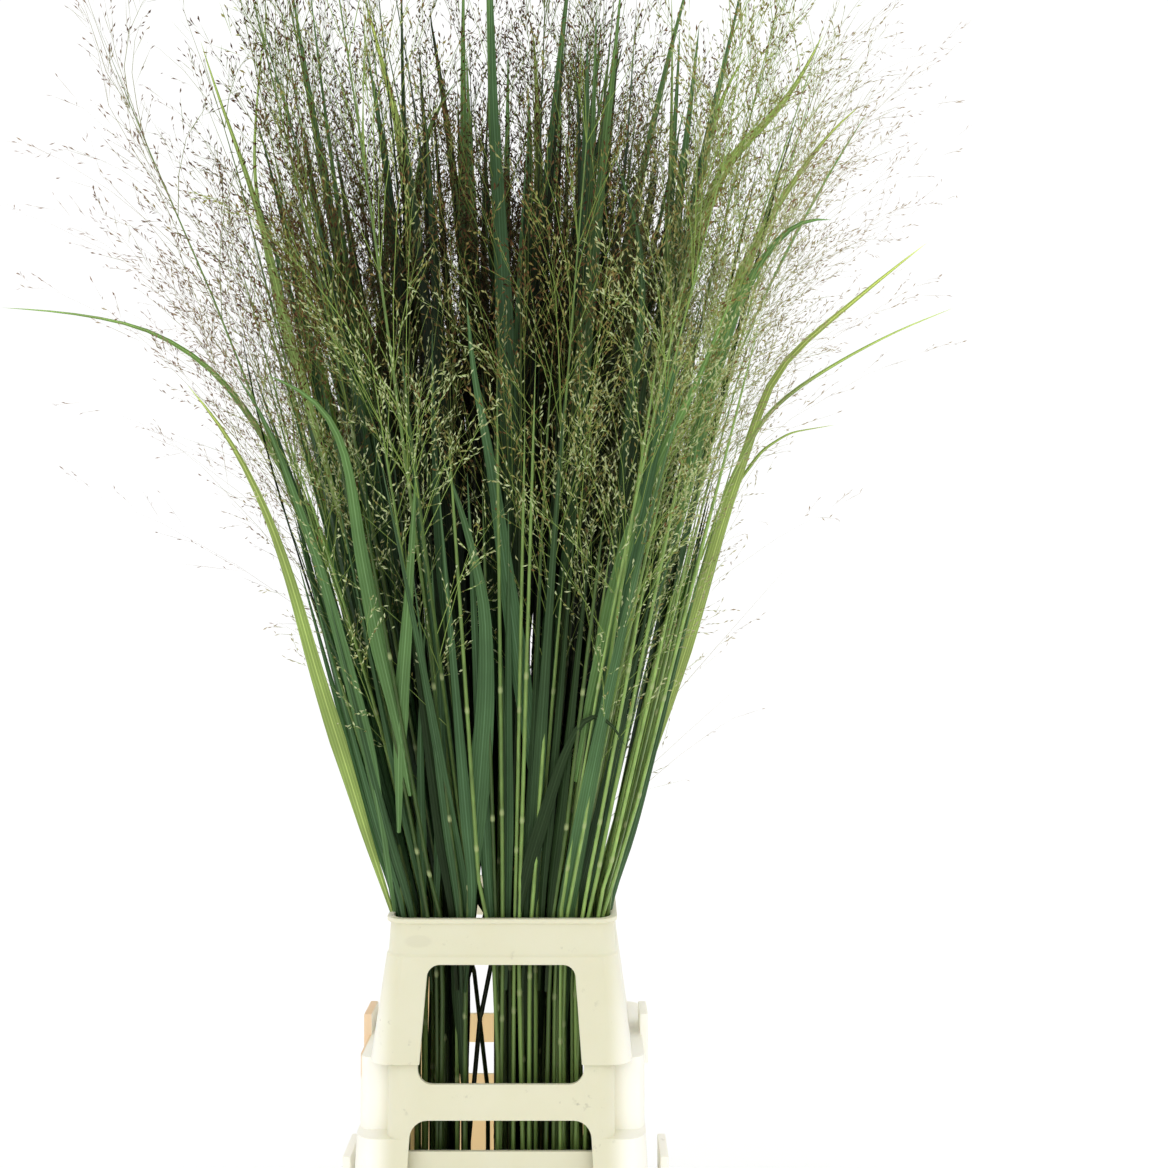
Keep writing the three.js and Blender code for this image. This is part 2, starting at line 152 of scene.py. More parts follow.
# Painted light: an emission makes the cheeks and grips glow white where they face the front.
frontward = ranged(tree, (facing_parts, "Y"), -0.3, -0.9)
front_side = calc(tree, "MULTIPLY", side_light_share, frontward)
side_glow = mixed(tree, front_side, (0, 0, 0, 1), linear("#6e6c66"))
wall_glow = mixed(tree, inner_share, side_glow, glow_tan)
plastic = add(tree, "BsdfPrincipled", {"IOR": 1.49, "Subsurface Weight": 0.12,
    "Subsurface Radius": (1.0, 0.7, 0.4), "Subsurface Scale": 0.004, "Emission Strength": 1.0,
    "Base Color": cream_with_grip_light, "Roughness": gloss, "Normal": relief, "Emission Color": wall_glow})
through_wall = add(tree, "BsdfTranslucent", {"Color": linear("#fffdf0")})
wall = add(tree, "MixShader", {0: 0.1, 1: plastic, 2: through_wall})
add(tree, "OutputMaterial", {"Surface": wall})


def tower(name, levels):
    """A rounded rectangle drawn up through its levels: height, half width, half depth and corner, in mm."""
    select()
    z, x, y, r = levels[0]
    bpy.ops.mesh.primitive_plane_add(size=2, location=(0, 0, z * mm))
    piece = bpy.context.object
    piece.name = piece.data.name = name
    bpy.ops.object.transform_apply(location=True)
    bpy.ops.object.mode_set(mode="EDIT")
    bpy.ops.transform.resize(value=(x * mm, y * mm, 1), center_override=(0, 0, 0))
    bpy.ops.mesh.bevel(offset=r * mm, offset_type="OFFSET", segments=8, affect="VERTICES")
    for (z0, x0, y0, r0), (z1, x1, y1, r1) in zip(levels, levels[1:]):
        bpy.ops.mesh.extrude_region_move(TRANSFORM_OT_translate={"value": (0, 0, (z1 - z0) * mm)})
        bpy.ops.transform.resize(value=(x1 / x0, y1 / y0, 1), center_override=(0, 0, z1 * mm))
    bpy.ops.mesh.select_all(action="SELECT")
    bpy.ops.mesh.normals_make_consistent(inside=False)
    bpy.ops.object.mode_set(mode="OBJECT")
    return piece


def joined(piece, other, operation="UNION"):
    """Joins another solid to a piece, or cuts it away, and removes it."""
    select(piece)
    change = piece.modifiers.new(operation.lower(), "BOOLEAN")
    change.operation = operation
    change.solver = "EXACT"
    change.object = other
    bpy.ops.object.modifier_apply(modifier=change.name)
    bpy.data.objects.remove(other)
    return piece


def window(low, high):
    """A cutter for a window front and back. Low and high each give z, half width and corner, in mm."""
    select()
    (z0, half0, corner0), (z1, half1, corner1) = low, high
    bpy.ops.mesh.primitive_cube_add(size=2, location=(0, 0, 0))
    cutter = bpy.context.object
    bpy.ops.object.mode_set(mode="EDIT")
    bpy.ops.transform.resize(value=(half0 * mm, 130 * mm, (z1 - z0) / 2 * mm))
    bpy.ops.transform.translate(value=(0, 0, (z0 + z1) / 2 * mm))
    shape = bmesh.from_edit_mesh(cutter.data)
    for vert in shape.verts:
        vert.select = vert.co.z > z1 * mm - 1e-5
    shape.select_flush_mode()
    bmesh.update_edit_mesh(cutter.data)
    bpy.ops.transform.resize(value=(half1 / half0, 1, 1), center_override=(0, 0, z1 * mm))
    for z, corner in ((z0, corner0), (z1, corner1)):
        if corner == 0:
            continue
        bpy.ops.mesh.select_mode(type="EDGE")
        bpy.ops.mesh.select_all(action="DESELECT")
        for edge in shape.edges:
            ends = [vert.co for vert in edge.verts]
            edge.select = all(abs(end.z - z * mm) < 1e-5
                for end in ends) and abs(ends[0].y - ends[1].y) > 0.2
        bmesh.update_edit_mesh(cutter.data)
        bpy.ops.mesh.bevel(offset=corner * mm, offset_type="OFFSET", segments=6, affect="EDGES")
    bpy.ops.object.mode_set(mode="OBJECT")
    return cutter


def finished(piece, node, edge=0.6):
    """Rounds a moulded piece's edges, shades it, and puts it on the model in place of its CAD node."""
    select(piece)
    rounding = piece.modifiers.new("rounding", "BEVEL")
    rounding.width = edge * mm
    rounding.segments = 2
    rounding.limit_method = "ANGLE"
    rounding.angle_limit = math.radians(40)
    bpy.ops.object.modifier_apply(modifier=rounding.name)
    bpy.ops.object.shade_smooth_by_angle(angle=math.radians(32))
    piece.data.materials.clear()
    piece.data.materials.append(moulded_cream)
    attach(piece, "root")
    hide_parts(node)


upper_sleeve = tower("upper_collar_sleeve", [
    (288, 104, 91, 17), (370, 92.5, 81.5, 15), (371.5, 91, 80, 14),
    (395.5, 89.5, 78.5, 13), (396.5, 92, 81, 15), (400, 92, 81, 15),
])
joined(upper_sleeve, tower("hollow", [(287, 101.1, 88.1, 14), (370, 89.5, 78.5, 12), (401, 86.5, 75.5, 10)]),
       "DIFFERENCE")
joined(upper_sleeve, window((280, 64.3, 0), (364, 58, 9)), "DIFFERENCE")
finished(upper_sleeve, "upper_collar")


# Lower collar
# The middle piece, of the same cream polypropylene: a full skirt that sits on the bucket's flange, set-back
# cheeks with a lifting grip on each side, and a neck, cut down in front and back, inside the upper collar.

def block(x0, x1, y0, y1, z0, z1):
    """A block between two corners, in mm."""
    select()
    bpy.ops.mesh.primitive_cube_add(size=1, location=(0, 0, 0))
    piece = bpy.context.object
    bpy.ops.object.mode_set(mode="EDIT")
    bpy.ops.transform.resize(value=((x1 - x0) * mm, (y1 - y0) * mm, (z1 - z0) * mm))
    bpy.ops.mesh.bevel(offset=1.2 * mm, offset_type="OFFSET", segments=2, affect="EDGES")
    bpy.ops.transform.translate(value=((x0 + x1) / 2 * mm, (y0 + y1) / 2 * mm, (z0 + z1) / 2 * mm))
    bpy.ops.object.mode_set(mode="OBJECT")
    return piece


lower_skirt = tower("lower_collar_skirt", [(152, 118, 102.5, 18), (231, 114.5, 93.3, 15)])
joined(lower_skirt, tower("cheeks", [(228, 114, 74, 10), (287.6, 114, 72, 10)]))
joined(lower_skirt, tower("neck", [(228, 90, 93.6, 12), (288, 90, 86.7, 12), (335, 86, 81.25, 12)]))
joined(lower_skirt, block(112, 119, -18, 18, 263, 305))
joined(lower_skirt, block(-119, -112, -18, 18, 263, 305))
joined(lower_skirt, tower("hollow", [(151, 115, 99.5, 15), (228, 111.5, 90.3, 12)]), "DIFFERENCE")
joined(lower_skirt, tower("hollow", [(223, 111, 71, 7), (284.6, 111, 69, 7)]), "DIFFERENCE")
joined(lower_skirt, tower("hollow", [(223, 87, 90.6, 9), (288, 87, 83.7, 9), (336, 83, 78.25, 9)]),
       "DIFFERENCE")
joined(lower_skirt, window((272, 65, 11), (338, 67, 0)), "DIFFERENCE")
joined(lower_skirt, window((176, 74.5, 12), (245, 70.5, 13)), "DIFFERENCE")
finished(lower_skirt, "lower_collar")


# Bucket
# The tub that holds the water, of the same plastic: tapered so that empty ones nest, with a flange that
# carries the collars and an upturned grip on each side.
bucket_tub = tower("bucket_tub", [
    (0, 88, 78, 22), (3, 90, 80, 23), (145, 99, 89, 26), (147, 118, 103, 24),
    (151.6, 118, 103, 24), (152.1, 97, 88, 28), (218, 94, 85, 28),
])
for left, right, low in ((109, 136, 145.5), (-136, -109, 145.5)):
    joined(bucket_tub, block(left, right, -24, 24, low, low + 5))
for left, right in ((129, 136), (-136, -129)):
    joined(bucket_tub, block(left, right, -24, 24, 145.5, 188))
joined(bucket_tub, tower("hollow", [(4, 86, 76, 19), (219, 91, 82, 25)]), "DIFFERENCE")
finished(bucket_tub, "bucket")


# Water
# A hand's breadth of clean water in the bucket, still, that the cut stems stand in. It keeps its CAD shape.
clear_water, tree = new_material("still water")
water_place = (add(tree, "TexCoord"), "Object")
ripple = add(tree, "TexNoise", {"Scale": 30.0, "Detail": 1.0, "Vector": water_place})
ripple_relief = add(tree, "Bump", {"Strength": 0.1, "Distance": 0.001, "Height": ripple})
water_body = add(tree, "BsdfPrincipled", {"Base Color": linear("#dfe9df"), "Roughness": 0.03, "IOR": 1.333,
    "Transmission Weight": 0.9, "Normal": ripple_relief})
add(tree, "OutputMaterial", {"Surface": water_body})
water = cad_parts["water"]
water.data.materials.clear()
water.data.materials.append(clear_water)


# Switchgrass
# Thirty-six cut bunches, each a leafy culm under an open panicle, with three younger shoots beside it.
# They stand free on the bucket's floor, held up by the collars, and part a little left of the middle.
# Lengths here are in mm, and each bunch keeps to a tapered cell of its own, as in the CAD.
stem_count = 36
rim_z = 400
foot_z = 4.4
sheaf_x, sheaf_y = 78, 69
fan_x, fan_y = 0.24, 0.22
gap_x, gap_half = -22, 11
collar_x, collar_y, collar_corner = 82.5, 74.5, 149
haze_left, haze_right, haze_deep = 420, 365, 300
front_top = 840
cell_margin = 0.012
whorls = 6
whorl_turn = 0.2
line_steps = 24

# A leaf blade: blue-green over yellow-green, with a pale midrib and fine lengthwise veins 2.2 mm apart,
# thin enough to glow where light comes through. Tone 0 is a dark blade and 1 a light yellow-green one.
leaf_blade, tree = new_material("switchgrass leaf blade")
leaf_place = (add(tree, "TexCoord"), "Object")
leaf_tone, leaf_along, leaf_across = [point_value(tree, name) for name in ("tone", "along", "across")]
leaf_clouds = add(tree, "TexNoise", {"Scale": 14.0, "Detail": 3.0, "Vector": leaf_place})
blade_greens = add(tree, "ValToRGB", {"Fac": leaf_tone})
ramp = blade_greens.color_ramp
ramp.elements[0].color = linear("#131c0d")
ramp.elements[1].color = linear("#a3b56a")
ramp.elements.new(0.25).color = linear("#2f4523")
ramp.elements.new(0.5).color = linear("#53774b")
ramp.elements.new(0.75).color = linear("#759a58")
mottled = mixed(tree, 0.5, blade_greens, leaf_clouds, "OVERLAY")
tip_share = ranged(tree, leaf_along, 0.55, 1.0, 0.7)
tipped = mixed(tree, tip_share, mottled, (1.25, 1.15, 1.05, 1.0), "MULTIPLY")
vein_phase = calc(tree, "MULTIPLY", leaf_across, 2 * math.pi / 2.2)
veins = calc(tree, "COSINE", vein_phase)
vein_share = ranged(tree, veins, 0.0, 1.0, 0.6)
veined = mixed(tree, vein_share, tipped, (1.5, 1.45, 1.7, 1.0), "MULTIPLY")
midrib_far = calc(tree, "ABSOLUTE", leaf_across)
midrib_share = ranged(tree, midrib_far, 0.8, 0.2, 0.7)
ribbed = mixed(tree, midrib_share, veined, (1.5, 1.4, 1.6, 1.0), "MULTIPLY")


def sheathed_and_collar_shaded(tree, place, colour, dark, share):
    """A colour darker and browner inside the collars: old sheaths there, and the collars' painted shade."""
    parts = add(tree, "SeparateXYZ", {"Vector": place})
    low = ranged(tree, (parts, "Z"), 0.43, 0.35, share)
    return mixed(tree, low, colour, linear(dark))


def shaded(tree, colour, dark):
    """A colour that turns dark deep in the sheaf, in the shade of the other bunches."""
    deep = point_value(tree, "deep")
    return mixed(tree, deep, colour, linear(dark))


shaded_leaf = shaded(tree, sheathed_and_collar_shaded(tree, leaf_place, ribbed, "#2a2f1a", 0.6), "#080c05")
vein_relief = add(tree, "Bump", {"Strength": 0.35, "Distance": 0.0003, "Height": veins})
leaf_skin = add(tree, "BsdfPrincipled", {"Roughness": 0.48, "IOR": 1.42, "Specular IOR Level": 0.3,
    "Base Color": shaded_leaf, "Normal": vein_relief})
glow_colour = mixed(tree, 1.0, shaded_leaf, (1.3, 1.3, 1.0, 1.0), "MULTIPLY")
leaf_glow = add(tree, "BsdfTranslucent", {"Color": glow_colour})
leaf_body = add(tree, "MixShader", {0: 0.42, 1: leaf_skin, 2: leaf_glow})
add(tree, "OutputMaterial", {"Surface": leaf_body})

# A culm: a smooth straw from dark green to pale yellow-green by its tone, with a bright band at every node.
straw, tree = new_material("switchgrass culm")
straw_place = (add(tree, "TexCoord"), "Object")
straw_tone, straw_node = [point_value(tree, name) for name in ("tone", "across")]
straw_stretch = add(tree, "Mapping", {"Scale": (300.0, 300.0, 12.0), "Vector": straw_place})
streaks = add(tree, "TexNoise", {"Scale": 1.0, "Detail": 2.0, "Vector": straw_stretch})
culm_green = mixed(tree, straw_tone, linear("#31461d"), linear("#95b562"))
streaked = mixed(tree, 0.55, culm_green, streaks, "OVERLAY")
banded = mixed(tree, straw_node, streaked, linear("#a7b27c"))
shaded_culm = shaded(tree, sheathed_and_collar_shaded(tree, straw_place, banded, "#333a1e", 0.3), "#0b0f06")
culm_skin = add(tree, "BsdfPrincipled", {"Roughness": 0.38, "IOR": 1.45, "Specular IOR Level": 0.35,
    "Subsurface Weight": 0.1, "Subsurface Scale": 0.002, "Base Color": shaded_culm})
add(tree, "OutputMaterial", {"Surface": culm_skin})

# A panicle: olive branches as fine as hair, and spikelets from pale green straw to purple brown when ripe.
panicle, tree = new_material("switchgrass panicle")
ripeness, spikelet_share, painted_pale_share = [point_value(tree, name) for name in ("tone", "along", "across")]
ripe_colours = add(tree, "ValToRGB", {"Fac": ripeness})
ramp = ripe_colours.color_ramp
ramp.elements[0].color = linear("#d9e2b2")
ramp.elements[1].color = linear("#523727")
ramp.elements.new(0.35).color = linear("#a8a45e")
ramp.elements.new(0.65).color = linear("#88643f")
stalk_colours = mixed(tree, ripeness, linear("#a9c46a"), linear("#75853a"))
own_colour = mixed(tree, spikelet_share, stalk_colours, ripe_colours)
# Painted light: the haze out at the sides is painted pale, washed out by light from behind.
panicle_colour = mixed(tree, painted_pale_share, own_colour, linear("#ccb3a2"))
shaded_panicle = shaded(tree, panicle_colour, "#1a1309")
panicle_skin = add(tree, "BsdfPrincipled", {"Roughness": 0.55, "IOR": 1.4, "Specular IOR Level": 0.2,
    "Base Color": shaded_panicle})
panicle_glow = add(tree, "BsdfTranslucent", {"Color": shaded_panicle})
panicle_body = add(tree, "MixShader", {0: 0.35, 1: panicle_skin, 2: panicle_glow})
add(tree, "OutputMaterial", {"Surface": panicle_body})


def draws(seed):
    """A seeded source of numbers between two limits."""
    state = ((seed + 1) * 2654435761) & 0xFFFFFFFF

    def between(low, high):
        nonlocal state
        state = (state * 1664525 + 1013904223) & 0xFFFFFFFF
        return low + (high - low) * state / 4294967296

    return between


golden_turns = np.arange(stem_count) * math.pi * (3 - math.sqrt(5))
cosines, sines = np.cos(golden_turns), np.sin(golden_turns)
radii = np.sqrt((np.arange(stem_count) + 0.5) / stem_count) / (cosines ** 4 + sines ** 4) ** 0.25
places = np.stack([(radii * cosines + 0.14 * np.tanh(7 * (radii * cosines + 0.2))) / 1.14, radii * sines],
    axis=1)


def spread(z):
    """Half width and half depth of the sheaf at a height."""
    rise = np.maximum(0, z - rim_z)
    return sheaf_x + fan_x * rise, sheaf_y + fan_y * rise


def cell_walls(stem, z):
    """The walls a*x + b*y <= c of a bunch's cell at heights z. Above the rim the collar's walls open out."""
    u, v = places[stem]
    du, dv = (np.delete(places, stem, axis=0) - (u, v)).T
    far = np.hypot(du, dv)
    half_x, half_y = spread(z[..., None])
    a, b = du / far / half_x, dv / far / half_y
    c = np.broadcast_to(far / 2 - cell_margin + (u * du + v * dv) / far, a.shape)
    collar = np.array([(1, 0, collar_x), (-1, 0, collar_x), (0, 1, collar_y), (0, -1, collar_y)]
                      + [(x, y, collar_corner) for x in (1, -1) for y in (1, -1)])
    flat = np.broadcast_to(collar, z.shape + collar.shape)
    limit = flat[..., 2] + 0.5 * np.maximum(0, z - rim_z - 1)[..., None]
    return tuple(np.concatenate(pair, axis=-1) for pair in ((a, flat[..., 0]), (b, flat[..., 1]),
        (c, limit)))


def kept(stem, axis, centre, offsets):
    """Moves cross-sections towards the axis, and narrows them, until they lie in the bunch's cell."""
    away = (centre - axis)[:, None, None, :]
    narrow = np.ones(len(centre))
    for _ in range(10):
        ring = offsets * narrow[:, None, None]
        a, b, c = cell_walls(stem, centre[:, None, 2] + ring[..., 2])
        base = (axis[:, None] + ring)[:, :, None, :]
        room = c - a * base[..., 0] - b * base[..., 1]
        need = a * away[..., 0] + b * away[..., 1]
        tight = (room >= 0) & (need > room)
        shares = np.where(tight, room / np.where(tight, need, 1), 1).min(axis=(1, 2))
        short = (room < 0).any(axis=(1, 2)) & (narrow >= 0.25)
        if not short.any():
            break
        narrow = np.where(short, narrow * 0.85, narrow)
    middle = axis + (centre - axis) * shares[:, None]
    return middle, middle[:, None] + offsets * narrow[:, None, None]


def parted(middle, half):
    """How far to move middles (n, 3) of this half width in x, to leave the gap that light shows through."""
    aside = middle[:, 0] - (gap_x - 0.077 * middle[:, 1])
    low = middle[:, 2] < rim_z
    if not low.any():
        return np.zeros(len(middle))
    way = 1 if aside[low].mean() > 0 else -1
    open_share = np.interp(middle[:, 2], [rim_z - 36, rim_z + 4], [1, 0])
    return way * np.maximum(0, gap_half + half - way * aside) * open_share


def bent_line(line_at, start, facing, length, lean, bend):
    """A line that leaves a culm at a lean and bends over towards its tip."""
    share = np.linspace(0, 1, line_steps + 1)
    angle = lean + bend * 1.6 * share ** 1.5
    z = start + np.concatenate([[0], np.cumsum(np.cos(angle[:-1]))]) * length / line_steps
    out = np.concatenate([[0], np.cumsum(np.sin(angle[:-1]))]) * length / line_steps
    heading = np.array([math.cos(facing), math.sin(facing), 0])
    direction = np.cos(angle)[:, None] * np.array([0, 0, 1]) + np.sin(angle)[:, None] * heading
    return line_at(z) + out[:, None] * heading, direction, share


def new_skin():
    """Lists that a bunch's skins are gathered in."""
    return {"points": [], "faces": [], "slots": [], "tone": [], "along": [], "across": [], "count": 0}


def lay(skin, points, faces, slot, tone, along, across):
    """Adds points (n, 3) and triangles (m, 3) to a bunch's skins, with their attributes."""
    count = len(points)
    skin["points"].append(points)
    skin["faces"].append(faces + skin["count"])
    skin["slots"].append(np.full(len(faces), slot))
    for name, value in (("tone", tone), ("along", along), ("across", across)):
        skin[name].append(np.broadcast_to(value, count))
    skin["count"] += count


def tube(skin, rings, tip, slot, tone, along, across):
    """A closed skin over rings (n, m, 3), flat at the start and pointed at the tip."""
    n, m = rings.shape[:2]
    corner = np.arange(m)
    low = (np.arange(n - 1)[:, None] * m + corner).ravel()
    low_next = (np.arange(n - 1)[:, None] * m + (corner + 1) % m).ravel()
    sides = np.concatenate([
        np.stack([low, low_next, low_next + m], axis=1),
        np.stack([low, low_next + m, low + m], axis=1),
    ])
    foot = np.stack([np.zeros(m - 2, int), corner[2:], corner[1:-1]], axis=1)
    last = (n - 1) * m
    end = np.stack([last + corner, last + (corner + 1) % m, np.full(m, n * m)], axis=1)
    points = np.concatenate([rings.reshape(-1, 3), tip[None]])

    def spread_out(value, at_tip):
        value = np.broadcast_to(np.asarray(value, float), (n, m)).ravel()
        return np.append(value, at_tip if at_tip is not None else value[-1])

    lay(skin, points, np.concatenate([sides, foot, end]), slot,
        spread_out(tone, None), spread_out(along, 1.0), spread_out(across, 0.0))


def lay_blade(skin, stem, axis, at, direction, across, share, width, twist, tone, widening=4):
    """A leaf blade along a middle line: a shallow gutter above, keeled below, tapering to a point."""
    over = np.cross(direction, across)
    side = across * np.cos(twist)[:, None] + over * np.sin(twist)[:, None]
    under = -np.cross(direction, side)
    half = width / 2 * np.minimum.reduce([0.25 + widening * share, np.ones_like(share),
                                          0.08 + 1.4 * (1 - share), 3 * (1 - share)])
    keel = (0.7 + 0.9 * (1 - share)) * np.minimum(1, 6 * (1 - share))
    section = np.array([(1, 0), (0.5, 0.18), (0, 0.35), (-0.5, 0.18), (-1, 0), (-0.5, 0.62), (0, 1),
        (0.5, 0.62)])
    offsets = (section[:, 0] * half[:, None])[..., None] * side[:, None]
    offsets = offsets + (section[:, 1] * keel[:, None])[..., None] * under[:, None]
    if axis is None:
        middle, rings = at, at[:, None] + offsets
    else:
        middle, rings = kept(stem, axis, at, offsets)
        rings[..., 0] += parted(middle, half * np.abs(side[:, 0]))[:, None]
    mm_across = section[:, 0] * half[:, None]
    tube(skin, rings[:-1], middle[-1], 0, tone, share[:-1, None], mm_across[:-1])


def drawn_leaf(more, start, length, width, lean, bend, twist=1):
    """The sizes of one more leaf, each drawn between its limits."""
    return {"start": start, "facing": more(0, 2 * math.pi), "length": more(*length), "width": more(*width),
            "lean": more(*lean), "bend": more(*bend), "twist": more(-twist, twist)}


def held_in(leaf, u, v, more, least, top):
    """Turns a leaf of an outer bunch inwards, and keeps one of a front bunch below a height."""
    if math.hypot(u, v) > 0.7:
        leaf["facing"] = math.atan2(-v, -u) + more(-1.2, 1.2)
    if v < -0.3:
        leaf["length"] = min(leaf["length"], max(least, top - leaf["start"]))


def blade(skin, stem, culm_at, line_at, leaf, tone):
    """A leaf blade that leaves a culm and leans over."""
    at, direction, share = bent_line(line_at, leaf["start"], leaf["facing"], leaf["length"], leaf["lean"],
        leaf["bend"])
    across = np.broadcast_to([-math.sin(leaf["facing"]), math.cos(leaf["facing"]), 0], at.shape)
    lay_blade(skin, stem, culm_at(at[:, 2]), at, direction, across, share, leaf["width"],
        leaf["twist"] * share, tone)


def seen_blade(skin, stem, forward, points, width, turn, tone):
    """A leaf blade through points x, z, as far forward in the sheaf as its share v, facing the front."""
    points = np.array(points, float).reshape(-1, 2)
    along = np.concatenate([[0], np.cumsum(np.hypot(*np.diff(points, axis=0).T))])
    share = np.linspace(0, 1, line_steps + 1)
    x, z = (np.interp(share * along[-1], along, points[:, k]) for k in (0, 1))
    for _ in range(2):
        x[1:-1] = x[:-2] / 4 + x[1:-1] / 2 + x[2:] / 4
        z[1:-1] = z[:-2] / 4 + z[1:-1] / 2 + z[2:] / 4
    at = np.stack([x, forward * (spread(z)[1] + 1), z], axis=1)
    direction = np.gradient(at, axis=0)
    direction /= np.linalg.norm(direction, axis=1, keepdims=True)
    across = np.cross(direction, [0.0, -1.0, 0.0])
    across /= np.linalg.norm(across, axis=1, keepdims=True)
    lay_blade(skin, stem, None, at, direction, across, share, width, turn * (1.4 - share), tone, 2.2)


def stalk(skin, middles, radii, sides, slot, tone, along, across, tip):
    """A round stalk with level rings round its middles, and a pointed tip."""
    turn = np.arange(sides) * 2 * math.pi / sides
    circle = np.stack([np.cos(turn), np.sin(turn), np.zeros(sides)], axis=1)
    rings = middles[:, None] + circle * np.asarray(radii)[:, None, None]
    tube(skin, rings, tip, slot, tone, np.asarray(along)[:, None], np.asarray(across)[:, None])


def jointed_culm(skin, line_at, bottom, top, radius_at, node_heights, tone, sides=8):
    """A culm with a swollen, paler node at each of its node heights."""
    levels = [(bottom, 0, 0)]
    for z in sorted(node_heights):
        levels += [(z - 3, 0, 0), (z - 1, 0.3, 0.7), (z + 1, 0.3, 0.7), (z + 4, 0, 0)]
    spare = np.linspace(bottom, top, 12)[1:-1]
    levels += [(z, 0, 0) for z in spare if all(abs(z - node) > 22 for node in node_heights)]
    levels = sorted(level for level in levels if bottom <= level[0] < top - 10)
    z = np.array([level[0] for level in levels])
    swell = np.array([level[1] for level in levels])
    band = np.array([level[2] for level in levels])
    stalk(skin, line_at(z), radius_at(z) + swell, sides, 1, tone, z / 1000, band,
        line_at(np.array([top]))[0])


